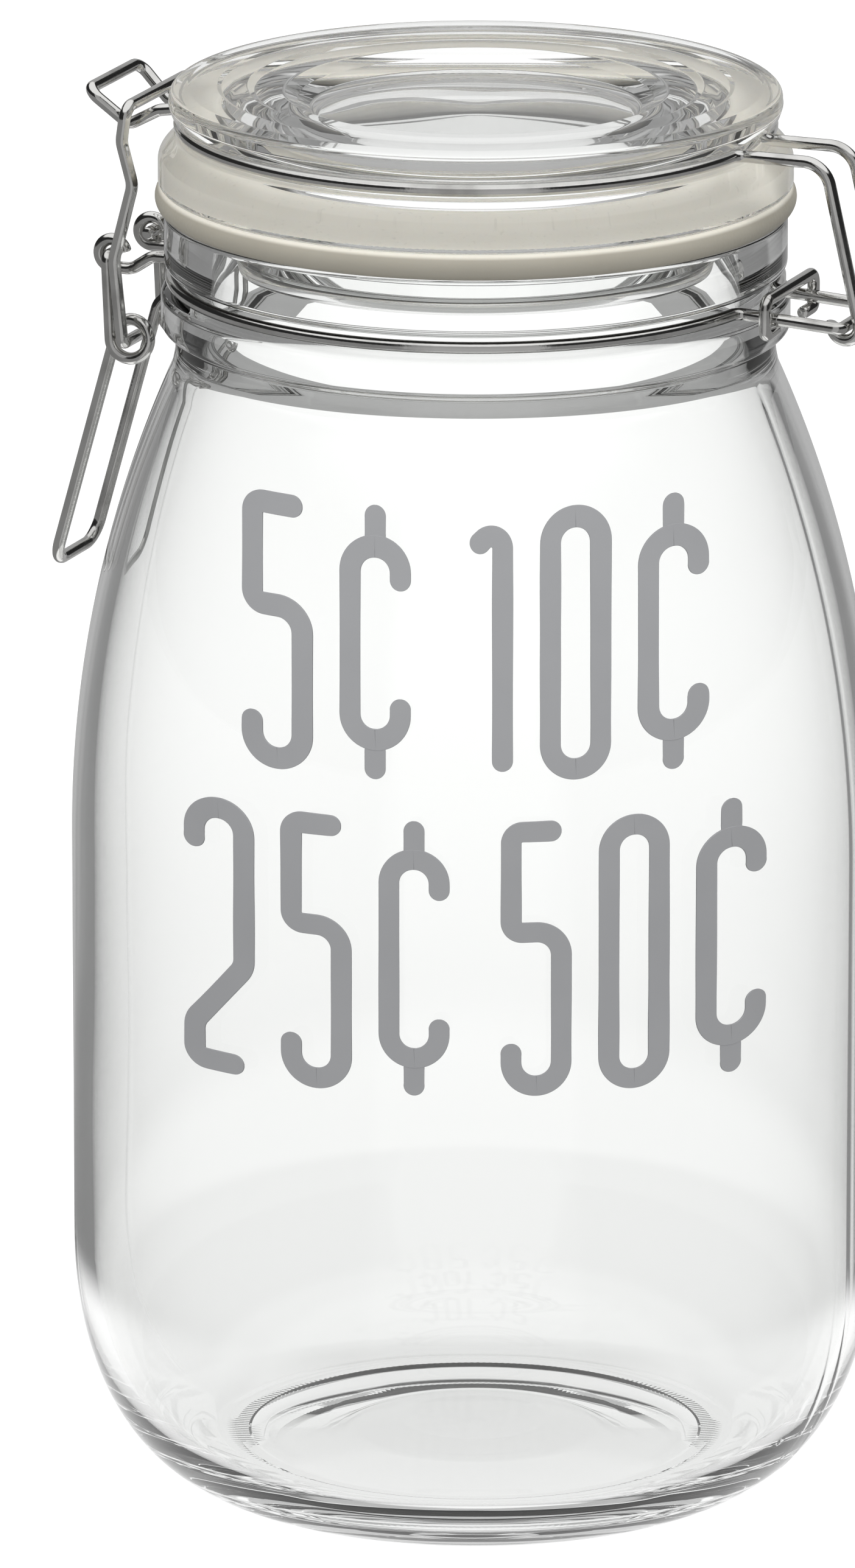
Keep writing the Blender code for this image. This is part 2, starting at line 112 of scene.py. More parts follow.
# ---- Node trees ----
class Nodes:
    """A short way to build a node tree; inputs are named, or numbered as i0, i1 and so on."""

    def __init__(self, tree):
        self.tree = tree

    def add(self, kind, settings=None, **inputs):
        node = self.tree.nodes.new("ShaderNode" + kind)
        for name, value in (settings or {}).items():
            setattr(node, name, value)
        for name, value in inputs.items():
            by_number = name[0] == "i" and name[1:].isdigit()
            self.put(node.inputs[int(name[1:])] if by_number else node.inputs[name], value)
        return node

    def put(self, socket, value):
        if isinstance(value, bpy.types.NodeSocket):
            self.tree.links.new(value, socket)
        else:
            socket.default_value = value

    def math(self, operation, a, b=0.0):
        return self.add("Math", {"operation": operation}, i0=a, i1=b).outputs[0]

    def mix(self, factor, a, b):
        node = self.add("Mix", {"data_type": "RGBA"})
        for socket, value in zip((node.inputs[0], node.inputs[6], node.inputs[7]), (factor, a, b)):
            self.put(socket, value)
        return node.outputs[2]

    def step(self, value, start, end):
        """0 before start, 1 after end, smooth between them."""
        return self.add("MapRange", {"interpolation_type": "SMOOTHSTEP"}, Value=value,
                        **{"From Min": start, "From Max": end}).outputs[0]


def new_material(name):
    material = bpy.data.materials.new(name)
    material.use_nodes = True
    material.node_tree.nodes.clear()
    nodes = Nodes(material.node_tree)
    shader = nodes.add("BsdfPrincipled")
    nodes.add("OutputMaterial", Surface=shader.outputs[0])
    return material, nodes, shader


def glass_material(name, waviness):
    """Clear pressed glass with a faintly uneven surface."""
    material, nodes, shader = new_material(name)
    place = nodes.add("TexCoord").outputs["Object"]
    slow = nodes.add("TexNoise", Vector=place, Scale=38.0, Detail=1.0).outputs["Fac"]
    bump = nodes.add("Bump", Height=slow, Strength=waviness, Distance=0.0006)
    shader.inputs["Base Color"].default_value = (0.985, 0.99, 0.984, 1.0)
    shader.inputs["IOR"].default_value = 1.5
    shader.inputs["Transmission Weight"].default_value = 1.0
    shader.inputs["Roughness"].default_value = 0.0
    nodes.put(shader.inputs["Normal"], bump.outputs[0])
    return material


def wire_material():
    """Bright galvanised wire with drawing marks along it and duller patches."""
    material, nodes, shader = new_material("bright_steel_wire")
    place = nodes.add("TexCoord").outputs["Object"]
    patches = nodes.add("TexNoise", Vector=place, Scale=120.0, Detail=3.0).outputs["Fac"]
    grain = nodes.add("TexNoise", Vector=place, Scale=1900.0, Detail=2.0).outputs["Fac"]
    dull = nodes.step(patches, 0.45, 0.75)
    nodes.put(shader.inputs["Base Color"],
              nodes.mix(dull, (0.74, 0.735, 0.72, 1.0), (0.50, 0.495, 0.48, 1.0)))
    rough = nodes.math("ADD", nodes.math("MULTIPLY", dull, 0.12), nodes.math("MULTIPLY", grain, 0.08))
    nodes.put(shader.inputs["Roughness"], nodes.math("ADD", rough, 0.06))
    shader.inputs["Metallic"].default_value = 1.0
    bump = nodes.add("Bump", Height=grain, Strength=0.12, Distance=0.00008)
    nodes.put(shader.inputs["Normal"], bump.outputs[0])
    return material


def rubber_material():
    """Cream rubber, lighter where the lid covers it, darker with painted shade outside it below the lid, and
    dusty in its pores.
    """
    material, nodes, shader = new_material("cream_rubber")
    place = nodes.add("TexCoord").outputs["Object"]
    cloud = nodes.add("TexNoise", Vector=place, Scale=60.0, Detail=4.0).outputs["Fac"]
    pores = nodes.add("TexNoise", Vector=place, Scale=1500.0, Detail=2.0).outputs["Fac"]
    colour = nodes.mix(cloud, (0.93, 0.90, 0.81, 1.0), (0.86, 0.83, 0.735, 1.0))
    height = nodes.add("SeparateXYZ", i0=place).outputs[2]
    # Painted shade: below the lid's under face, the rubber's outer edge, which curves under, is given a
    # darker colour.
    shade_below_lid = nodes.math("SUBTRACT", 1.0, nodes.step(height, 0.2144, 0.2154))
    painted_shade_colour = nodes.mix(cloud, (0.27, 0.255, 0.213, 1.0), (0.22, 0.206, 0.170, 1.0))
    colour = nodes.mix(shade_below_lid, colour, painted_shade_colour)
    dust = nodes.math("MULTIPLY", nodes.step(pores, 0.6, 0.75), 0.12)
    colour = nodes.mix(dust, colour, (0.30, 0.28, 0.24, 1.0))
    nodes.put(shader.inputs["Base Color"], colour)
    nodes.put(shader.inputs["Roughness"], nodes.math("ADD", nodes.math("MULTIPLY", pores, 0.25), 0.38))
    shader.inputs["Subsurface Weight"].default_value = 0.15
    shader.inputs["Subsurface Radius"].default_value = (0.002, 0.0015, 0.001)
    bump = nodes.add("Bump", Height=pores, Strength=0.25, Distance=0.00008)
    nodes.put(shader.inputs["Normal"], bump.outputs[0])
    return material


def print_material():
    """Matte grey vinyl with a fine calendered texture."""
    material, nodes, shader = new_material("grey_vinyl")
    place = nodes.add("TexCoord").outputs["Object"]
    cloud = nodes.add("TexNoise", Vector=place, Scale=90.0, Detail=3.0).outputs["Fac"]
    grain = nodes.add("TexNoise", Vector=place, Scale=2600.0, Detail=1.0).outputs["Fac"]
    nodes.put(shader.inputs["Base Color"],
              nodes.mix(cloud, (0.226, 0.229, 0.235, 1.0), (0.205, 0.208, 0.214, 1.0)))
    nodes.put(shader.inputs["Roughness"], nodes.math("ADD", nodes.math("MULTIPLY", grain, 0.2), 0.45))
    shader.inputs["Specular IOR Level"].default_value = 0.25
    bump = nodes.add("Bump", Height=grain, Strength=0.15, Distance=0.00003)
    nodes.put(shader.inputs["Normal"], bump.outputs[0])
    return material


# ---- Turned pieces ----
def rounded_outline(corners):
    """An outline of (radius, height) points from (radius, height, bend radius) corners."""
    points = []
    for i, (r, z, bend) in enumerate(corners):
        corner = Vector((r, 0.0, z))
        if bend <= 0.0 or i in (0, len(corners) - 1):
            points.append((r, z))
            continue
        before = Vector((corners[i - 1][0], 0.0, corners[i - 1][1]))
        after = Vector((corners[i + 1][0], 0.0, corners[i + 1][1]))
        points += [(p.x, p.z) for p in rounded_corner(before, corner, after, bend, OUTLINE_STEP)]
    return points


def heel_curve(start_r, end_r, bottom, steps):
    """The heel from the base out to the wall, without its two end points."""
    points = []
    for i in range(1, steps):
        angle = 0.5 * pi * i / steps
        out = start_r + (end_r - start_r) * sin(angle) ** (2.0 / HEEL_POWER)
        points.append((out, HEEL_TOP - (HEEL_TOP - bottom) * cos(angle) ** (2.0 / HEEL_POWER)))
    return points


def wall_radius(z):
    """The outer radius of the glass on its straight wall and shoulder."""
    rise = max(0.0, z - SHOULDER_START)
    return BODY_R - SHOULDER_ARC + sqrt(SHOULDER_ARC ** 2 - rise ** 2)


def shoulder_curve(inset, steps):
    """The shoulder from the wall up, at a depth under the outer face."""
    levels = [SHOULDER_START + (SHOULDER_END - SHOULDER_START) * i / steps for i in range(steps + 1)]
    return [(wall_radius(z) - inset, z) for z in levels]


def resampled(points, longest):
    """The same outline with no piece longer than longest, so that it can be moved smoothly."""
    dense = [points[0]]
    for (r0, z0), (r1, z1) in zip(points, points[1:]):
        steps = max(1, ceil(hypot(r1 - r0, z1 - z0) / longest))
        dense += [(r0 + (r1 - r0) * i / steps, z0 + (z1 - z0) * i / steps) for i in range(1, steps + 1)]
    return dense


def turned_mesh(name, outline, segments, shape=None):
    """Turn an outline into a smooth closed mesh; shape(r, z, turn, index, step) moves its points."""
    rows = []
    mesh_builder = bmesh.new()
    for index, (r, z) in enumerate(outline):
        if r < 1e-6:
            rows.append([mesh_builder.verts.new((0.0, 0.0, z * MM))])
            continue
        row = []
        for step in range(segments):
            turn = 2.0 * pi * step / segments
            rr, zz = shape(r, z, turn, index, step) if shape else (r, z)
            row.append(mesh_builder.verts.new((rr * cos(turn) * MM, rr * sin(turn) * MM, zz * MM)))
        rows.append(row)
    closed = len(rows[0]) > 1
    for a, b in zip(rows, rows[1:] + (rows[:1] if closed else [])):
        for k in range(segments):
            n = (k + 1) % segments
            corners = [a[0]] if len(a) == 1 else [a[k], a[n]]
            corners += [b[0]] if len(b) == 1 else [b[n], b[k]]
            if len(corners) > 2:
                mesh_builder.faces.new(corners)
    bmesh.ops.recalc_face_normals(mesh_builder, faces=mesh_builder.faces)
    mesh = bpy.data.meshes.new(name)
    mesh_builder.to_mesh(mesh)
    mesh_builder.free()
    mesh.shade_smooth()
    return mesh


def show(name, mesh, material, body, slot, *nodes):
    """A piece in place of its CAD nodes."""
    mesh.materials.append(material)
    piece = bpy.data.objects.new(name, mesh)
    bpy.context.scene.collection.objects.link(piece)
    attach(piece, body)
    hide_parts(*nodes)
    return piece


def seat(r, z):
    """The height at a radius of a face that squeezes the rubber ring, from its height outside."""
    return z + SEAT_SLOPE * (SEAT_START - r)


def jar_outline():
    """Outer face from the middle of the base up to the rim, then the inner face down to the floor."""
    base = rounded_outline([(0.0, 3.3, 0), (20.0, 3.0, 18), (34.6, 1.0, 8),
                            (36.9, 0.35, 0.5), (37.4, 0.12, 0.2), (39.6, 0.12, 0.4), (41.2, 0.55, 0)])
    heel = [p for p in heel_curve(HEEL_R, BODY_R, 0.0, 46) if p[0] > 42.0]
    outer = [*base, *heel, (BODY_R, HEEL_TOP), *shoulder_curve(0.0, 34)]
    top = [(*outer[-1], 0), (48.0, 188.0, 5), (48.05, 191.2, 0.7), (BEAD_R, 192.2, 1.1), (BEAD_R, 197.8, 1.2),
           (NECK_GROOVE_R, 198.6, 0.7), (NECK_GROOVE_R, 201.6, 0.7), (RIM_R, 202.0, 1.2),
           (RIM_R, seat(RIM_R, RIM_TOP), 1.0), (MOUTH_R, seat(MOUTH_R, RIM_TOP), 1.3), (MOUTH_R, 192.0, 14),
           (*shoulder_curve(WALL, 24)[-1], 0)]
    neck = rounded_outline(top)[1:-1]
    inside = [*reversed(shoulder_curve(WALL, 24)), (BODY_R - WALL, HEEL_TOP)]
    inner_heel = heel_curve(INNER_HEEL_R, BODY_R - WALL, FLOOR_Z, 40)
    floor = rounded_outline([(INNER_HEEL_R, FLOOR_Z, 0), (24.0, FLOOR_Z - 0.1, 9), (12.0, FLOOR_Z + 0.35, 9),
                             (0.0, 7.9, 0)])
    return resampled([*outer, *neck, *inside, *reversed(inner_heel), *floor], 2.6)


def jar_shape(r, z, turn, index, step):
    """Teeth under the foot, uneven glass inside, and a mould seam on each side."""
    if z < 0.5 and FOOT_INNER < r < FOOT_OUTER:
        return r, z + (TOOTH_DEPTH if step % 2 else 0.0)
    if index > jar_inner_start:
        place = Vector((cos(turn) * r, sin(turn) * r, z * 0.8)) * 0.026
        upright = min(1.0, max(0.0, (z - UPRIGHT_START) / (UPRIGHT_END - UPRIGHT_START)))
        lift = (HEEL_WAVES + (WALL_WAVES - HEEL_WAVES) * upright) * noise.noise(place)
        return r + lift, z + 0.7 * lift * (1.0 - upright)
    seam = SEAM_HEIGHT * max(0.0, 1.0 - abs(sin(turn)) * r / SEAM_WIDTH)
    return (r + (seam if 6.0 < z < 185.0 else 0.0), z)


def lid_outline():
    """The under face from the middle out to the flange, then the groove, the rim and the top face."""
    corners = [(0.0, 222.6, 0), (25.5, 222.4, 3), (30.0, 220.4, 3), (32.6, 214.0, 6), (33.6, 205.0, 2),
               (35.0, PLUG_BOTTOM, 1.2), (37.9, PLUG_BOTTOM, 1.2), (39.0, 206.0, 3),
               (PLUG_R, 216.6, 0.6), (PLUG_R + 0.3, seat(PLUG_R + 0.3, LID_UNDER), 0.3),
               (49.3, LID_UNDER, 0.5), (LID_FLANGE_R, 215.35, 0.6), (LID_FLANGE_R, 220.2, 3.0),
               (47.9, 223.3, 1.2), (LID_GROOVE_R, 223.5, 0.7), (LID_GROOVE_R, 226.2, 0.7), (48.4, 226.4, 0.9),
               (LID_R, 228.2, 1.0), (LID_R - 0.2, 230.4, 1.3), (45.9, LID_TOP, 1.8), (41.2, LID_TOP, 0.3),
               (40.5, 230.7, 0.3), (36.4, 230.9, 0.5), (35.2, 230.3, 0.6), (30.6, 230.1, 1.2),
               (28.4, 228.9, 1.2), (26.2, 227.4, 1.2), (0.0, 227.3, 0)]
    return resampled(rounded_outline(corners), 2.4)


def lid_shape(r, z, turn, index, step):
    """Slightly uneven pressed glass under the lid."""
    if z < 224.0 and r < 39.0:
        place = Vector((cos(turn) * r, sin(turn) * r, z)) * 0.06
        return r, z + LID_WAVES * noise.noise(place)
    return r, z


def rubber_outline():
    """A flat ring with a round outer edge; it rises towards the axis with the faces that squeeze it."""
    bulge = 0.5 * (RUBBER_TOP - RUBBER_BOTTOM)
    middle = RUBBER_BOTTOM + bulge
    edge = RUBBER_OUTER - bulge
    angles = [radians(a) for a in range(-84, 85, 7)]
    round_edge = [(edge + bulge * cos(a), middle + bulge * sin(a)) for a in angles]
    low, high = seat(RUBBER_INNER, RUBBER_BOTTOM), seat(RUBBER_INNER, RUBBER_TOP)
    return resampled([(RUBBER_INNER, low + 0.2), (RUBBER_INNER + 0.2, low), (edge, RUBBER_BOTTOM),
                      *round_edge, (edge, RUBBER_TOP), (RUBBER_INNER + 0.2, high),
                      (RUBBER_INNER, high - 0.2)], 1.5)


# ---- Bent wires ----
def rounded_corner(before, corner, after, radius, turn_step):
    """Points of a bend that replaces a sharp corner."""
    back, ahead = (before - corner).normalized(), (after - corner).normalized()
    half = 0.5 * back.angle(ahead)
    if pi - 2.0 * half < radians(0.5):
        return [corner]
    steps = max(2, ceil((pi - 2.0 * half) / radians(turn_step)))
    centre = corner + (back + ahead).normalized() * (radius / sin(half))
    start = corner + back * (radius / tan(half)) - centre
    axis = (-back).cross(ahead).normalized()
    turns = [Matrix.Rotation((pi - 2.0 * half) * i / steps, 3, axis) for i in range(steps + 1)]
    return [centre + turn @ start for turn in turns]


def bent_path(corners):
    """A wire's centre line from (point, bend radius) pairs; a radius of 0 keeps the point."""
    path = []
    for i, (point, radius) in enumerate(corners):
        if radius > 0.0:
            path += rounded_corner(corners[i - 1][0], point, corners[i + 1][0], radius, WIRE_STEP)
        else:
            path.append(point)
    return path


def mirrored(corners):
    """The whole wire from its half on the -Y side, which is listed up to the plane Y = 0."""
    other = [(Vector((p.x, -p.y, p.z)), radius) for p, radius in reversed(corners)]
    return [*corners, *other]


def ring_arc(radius, z, start, end):
    """Corners along a level ring, 2 degrees apart."""
    steps = ceil(abs(end - start) / radians(2.0))
    angles = [start + (end - start) * i / steps for i in range(steps + 1)]
    return [(Vector((radius * cos(a), -radius * sin(a), z)), 0.0) for a in angles]


def eye(centre, y, start, end, y_end=None, radius=EYE_R):
    """Corners on an eye round a pivot, seen along +Y; angles in degrees from +X towards +Z."""
    y_end = y if y_end is None else y_end
    steps = ceil(abs(end - start) / 8.0)
    corners = []
    for i in range(steps + 1):
        angle = radians(start + (end - start) * i / steps)
        side = y + (y_end - y) * i / steps
        place = Vector((centre.x + radius * cos(angle), side, centre.z + radius * sin(angle)))
        corners.append((place, 0.0))
    return corners


def ring_between(radius, z, first_y, last_y):
    """A round wire on the -Y side, from the latch arm at first_y to the hinge arm at last_y."""
    latch, hinge = asin(first_y / radius), asin(last_y / radius)
    room = radians(4.0)
    ring = ring_arc(radius, z, pi - latch - room, hinge + room)
    start = (Vector((-radius * cos(latch), -first_y, z)), 2.0)
    end = (Vector((radius * cos(hinge), -last_y, z)), 2.0)
    return [start, *ring, end]


def collar_corners():
    """From a latch eye round the neck to the bar of the hinge."""
    under_eye = Vector((LEVER_PIVOT.x, -COLLAR_EYE_Y, LEVER_PIVOT.z - EYE_R))
    latch = [*eye(LEVER_PIVOT, -COLLAR_EYE_Y, 10, 270), (under_eye + Vector((3.4, 0, 0)), 3.0),
             (Vector((-52.6, -COLLAR_EYE_Y, COLLAR_Z)), 3.0)]
    ring = ring_between(COLLAR_R, COLLAR_Z, COLLAR_EYE_Y, HINGE_ARM_Y)
    return mirrored([*latch, *ring, (LID_PIVOT + Vector((0, -HINGE_ARM_Y, 0)), 1.2)])


def lid_wire_corners():
    """From a hinge eye round the lid's groove to the thumb tab."""
    hinge = [*eye(LID_PIVOT, -LID_LEG_Y, 165, 373), (Vector((61.8, -LID_LEG_Y, LID_WIRE_Z)), 4.5)]
    ring = ring_between(LID_WIRE_R, LID_WIRE_Z, LID_ARM_Y, LID_LEG_Y)
    tab = [(Vector((-51.2, -LID_ARM_Y, 224.2)), 3.0), (Vector((-56.4, -LID_ARM_Y, 221.4)), 1.6),
           (Vector((-62.8, -TAB_Y, 227.0)), 1.8)]
    return mirrored([*hinge, *reversed(ring), *tab])


def link_corners():
    """From a pin up a leg to the crossbar."""
    foot = LINK_PIVOT + Vector((0, -LINK_Y, 0))
    pin_end = foot + Vector((0, LINK_Y - HANDLE_Y + PIN_END, 0))
    leg = [(foot, 1.1), (Vector((-57.3, -LINK_Y, 200.0)), 5.0), (Vector((-54.0, -LINK_Y, 212.5)), 4.0),
           (Vector((-55.9, -LINK_Y, 219.5)), 4.0), (Vector((-55.1, -LINK_Y, 225.2)), 2.2)]
    return mirrored([(pin_end, 0.0), *leg])


def side_angle(direction):
    """Where an eye's centre line runs in a direction, as an angle from +X towards +Z."""
    return degrees(atan2(-direction.x, direction.z)) % 360.0


def lever_corners():
    """From a pivot pin along the crank and round the coil to the handle's tip."""
    pivot = LEVER_PIVOT + Vector((0, -CRANK_Y, 0))
    pin_end = LEVER_PIVOT + Vector((0, PIN_END - COLLAR_EYE_Y, 0))
    tip = Vector((-70.1, -HANDLE_Y, 147.5))
    crank, handle = LINK_PIVOT - LEVER_PIVOT, tip - LINK_PIVOT
    start = side_angle(crank) - degrees(asin(COIL_R / hypot(crank.x, crank.z)))
    end = side_angle(handle) + degrees(asin(COIL_R / hypot(handle.x, handle.z))) + 360.0
    coil = eye(LINK_PIVOT, -CRANK_Y, start, end, -HANDLE_Y, COIL_R)
    return mirrored([(pin_end, 0.0), (pivot, 1.1), *coil, (tip, 3.6)])


def clip_corners():
    """From a hooked end outside the hinge arms up to the bar across them."""
    x, low, high = 53.6, 197.2, 202.8
    return mirrored([(Vector((x, 2.6 - HINGE_ARM_Y, low)), 0.0), (Vector((x, -CLIP_Y, low)), 1.1),
                     (Vector((x, -CLIP_Y, high)), 1.6)])


def wire_mesh(name, corners):
    """A round wire along its centre line, with slightly domed cut ends."""
    path = bent_path(corners)
    path = [path[0], *[b for a, b in zip(path, path[1:]) if (b - a).length > 0.02]]
    ahead, back = (path[1] - path[0]).normalized(), (path[-2] - path[-1]).normalized()
    sections = [(path[0] + ahead * depth, size) for depth, size in CUT_END]
    sections += [(p, 1.0) for p in path[1:-1]]
    sections += [(path[-1] + back * depth, size) for depth, size in reversed(CUT_END)]
    mesh_builder = bmesh.new()
    side = ahead.orthogonal().normalized()
    rings = []
    for i, (point, size) in enumerate(sections):
        before = sections[max(0, i - 1)][0]
        after = sections[min(len(sections) - 1, i + 1)][0]
        ahead = (after - before).normalized()
        side = (side - ahead * side.dot(ahead)).normalized()
        other = ahead.cross(side)
        ring = []
        for k in range(WIRE_SIDES):
            a = 2.0 * pi * k / WIRE_SIDES
            place = point + (side * cos(a) + other * sin(a)) * (WIRE_R * size)
            ring.append(mesh_builder.verts.new(place * MM))
        rings.append(ring)
    for a, b in zip(rings, rings[1:]):
        for k in range(WIRE_SIDES):
            n = (k + 1) % WIRE_SIDES
            mesh_builder.faces.new((a[k], a[n], b[n], b[k]))
    mesh_builder.faces.new(list(reversed(rings[0])))
    mesh_builder.faces.new(rings[-1])
    bmesh.ops.recalc_face_normals(mesh_builder, faces=mesh_builder.faces)
    mesh = bpy.data.meshes.new(name)
    mesh_builder.to_mesh(mesh)
    mesh_builder.free()
    mesh.shade_smooth()
    mesh.set_sharp_from_angle(angle=radians(50))
    return mesh


# ---- Printed coin values ----
def on_glass(u, z, lift):
    """A point in front of the glass: u across the view of the print, z up, lift off the glass."""
    radius = wall_radius(z)
    turn = VIEW_TURN + asin(u / radius)
    return Vector(((radius + lift) * sin(turn), -(radius + lift) * cos(turn), z)) * MM


def stroke_path(corners):
    """The middle of a printed stroke, as (across, up) points no more than 1.2 mm apart."""
    bent = bent_path([(Vector((u, v, 0.0)), radius) for u, v, radius in corners])
    path = [bent[0]]
    for point in bent[1:]:
        start = path[-1]
        steps = max(1, ceil((point - start).length / 1.2))
        path += [start.lerp(point, (i + 1) / steps) for i in range(steps)]
    return path


def cut_sections(path, closed, seed):
    """(point, half width) along a stroke, with round ends and a slightly uneven width."""
    half = 0.5 * PRINT_STROKE
    sections = []
    for i, p in enumerate(path[1:] if closed else path):
        wobble = 1.0 + 0.05 * noise.noise(Vector((p.x * 0.11 + seed, p.y * 0.11, 3.7)))
        sections.append((p, half * wobble))
    if closed:
        return sections
    length = [0.0]
    for a, b in zip(path, path[1:]):
        length.append(length[-1] + (b - a).length)
    body = [(p, w) for (p, w), s in zip(sections, length) if half < s < length[-1] - half]
    ahead = (path[1] - path[0]).normalized()
    back = (path[-2] - path[-1]).normalized()
    caps = [(half * (1.0 - cos(radians(a))), half * sin(radians(a))) for a in range(10, 91, 10)]
    return [*[(path[0] + ahead * t, w) for t, w in caps], *body,
            *[(path[-1] + back * t, w) for t, w in reversed(caps)]]


def stroke_body(mesh_builder, path, base_u, base_z, bottom, top, seed):
    """Add one printed stroke, a closed solid with softened top edges."""
    closed = (path[0] - path[-1]).length < 0.01
    sections = cut_sections(path, closed, seed)
    count = len(sections)
    shoulder = top - PRINT_SOFT_EDGE
    rings = []
    for i, (point, half) in enumerate(sections):
        before = sections[i - 1][0] if closed or i > 0 else point
        after = sections[(i + 1) % count][0] if closed or i < count - 1 else point
        ahead = (after - before).normalized()
        side = Vector((-ahead.y, ahead.x, 0.0))
        crown = half - PRINT_SOFT_EDGE
        offsets = [(half, bottom), (-half, bottom), (-half, shoulder), (-crown, top), (crown, top),
                   (half, shoulder)]
        corners = [(point + side * w, up) for w, up in offsets]
        rings.append([mesh_builder.verts.new(on_glass(base_u + p.x, base_z + p.y, up)) for p, up in corners])
    sides = len(rings[0])
    for a, b in list(zip(rings, rings[1:])) + ([(rings[-1], rings[0])] if closed else []):
        for k in range(sides):
            mesh_builder.faces.new((a[k], a[(k + 1) % sides], b[(k + 1) % sides], b[k]))
    if not closed:
        mesh_builder.faces.new(rings[0])
        mesh_builder.faces.new(rings[-1])


def glyph_strokes(glyph, width, height):
    """The strokes of a glyph, each a list of (across, up, bend radius) corners."""
    x, low, high = 0.5 * (width - PRINT_STROKE), 0.5 * PRINT_STROKE, height - 0.5 * PRINT_STROKE
    bend = x - 0.05
    if glyph == "0":
        side = (x, 0.5 * height, 0)
        return [[side, (x, high, bend), (-x, high, bend), (-x, low, bend), (x, low, bend), side]]
    if glyph == "1":
        return [[(-x, high - 4.6, 0), (x, high, PRINT_BEND), (x, low, 0)]]
    if glyph == "2":
        return [[(-x, high - 7.0, 0), (-x, high, bend), (x, high, bend), (x, 0.4 * height, 3.5),
                 (-x, low + 6.0, 3.5), (-x, low, PRINT_BEND), (x, low, 0)]]
    if glyph == "5":
        middle = 0.6 * height
        return [[(x, high, 0), (-x, high, PRINT_BEND), (-x, middle, PRINT_BEND), (x, middle, bend),
                 (x, low, bend), (-x, low, bend), (-x, low + 7.0, 0)]]
    cup = [(x, high - 11.0, 0), (x, high - TICK, bend), (-x, high - TICK, bend), (-x, low + TICK, bend),
           (x, low + TICK, bend), (x, low + 11.0, 0)]
    return [cup, [(0, high - TICK, 0), (0, height, 0)], [(0, low + TICK, 0), (0, 0, 0)]]


def print_glyph(name, strokes, base_u, base_z, material, seed):
    """One printed glyph; the cent sign's ticks are a little thinner than its cup, which they run into."""
    mesh_builder = bmesh.new()
    for n, corners in enumerate(strokes):
        inset = TICK_INSET if n else 0.0
        stroke_body(mesh_builder, stroke_path(corners), base_u, base_z, PRINT_LIFT + inset,
                    PRINT_LIFT + PRINT_THICKNESS - inset, seed + n)
    bmesh.ops.recalc_face_normals(mesh_builder, faces=mesh_builder.faces)
    mesh = bpy.data.meshes.new("vinyl_" + name)
    mesh_builder.to_mesh(mesh)
    mesh_builder.free()
    mesh.shade_smooth()
    mesh.set_sharp_from_angle(angle=radians(30))
    show("vinyl_" + name, mesh, material, "jar", "print", name)


def glyph_width(glyph):
    return ONE_WIDTH if glyph == "1" else GLYPH_WIDTH


def print_row(row_name, values, bottom, top, material):
    """A centred row of coin values, each glyph its own piece of vinyl."""
    glyphs = "".join(values)
    u = -0.5 * (sum(glyph_width(g) for g in glyphs) + GLYPH_SPACE * (len(glyphs) - len(values))
                + VALUE_SPACE * (len(values) - 1))
    number = 0
    for value in values:
        for glyph in value:
            number += 1
            strokes = glyph_strokes(glyph, glyph_width(glyph), top - bottom)
            middle = u + 0.5 * glyph_width(glyph)
            print_glyph(f"print_{row_name}_{number}", strokes, middle, bottom, material, 10.0 * number)
            u += glyph_width(glyph) + GLYPH_SPACE
        u += VALUE_SPACE - GLYPH_SPACE


# ---- Camera, floor and light ----
def make_camera():
    data = bpy.data.cameras.new("camera")
    data.lens, data.sensor_width, data.sensor_fit = LENS, 36.0, "HORIZONTAL"
    data.clip_start, data.clip_end = 0.1, 100.0
    camera = bpy.data.objects.new("camera", data)
    camera.location = Vector((sin(VIEW_TURN) * CAMERA_DISTANCE, -cos(VIEW_TURN) * CAMERA_DISTANCE,
                              CAMERA_HEIGHT)) * MM
    aim = Vector((-cos(VIEW_TURN) * AIM_LEFT, -sin(VIEW_TURN) * AIM_LEFT, AIM_HEIGHT)) * MM
    camera.rotation_euler = (aim - camera.location).to_track_quat("-Z", "Y").to_euler()
    bpy.context.scene.collection.objects.link(camera)
    bpy.context.scene.camera = camera


def side_darkness(nodes, vector):
    """1 to the left and right of the photograph's view, 0 behind and in front of the jar."""
    about_z = {"rotation_type": "Z_AXIS"}
    turned = nodes.add("VectorRotate", about_z, Vector=vector, Angle=-VIEW_TURN).outputs[0]
    flat = nodes.add("VectorMath", {"operation": "MULTIPLY"}, i0=turned, i1=(1.0, 1.0, 0.0)).outputs[0]
    unit = nodes.add("VectorMath", {"operation": "NORMALIZE"}, i0=flat).outputs[0]
    across = nodes.math("ABSOLUTE", nodes.add("SeparateXYZ", i0=unit).outputs[0])
    return nodes.step(across, SIDES_START, SIDES_END)


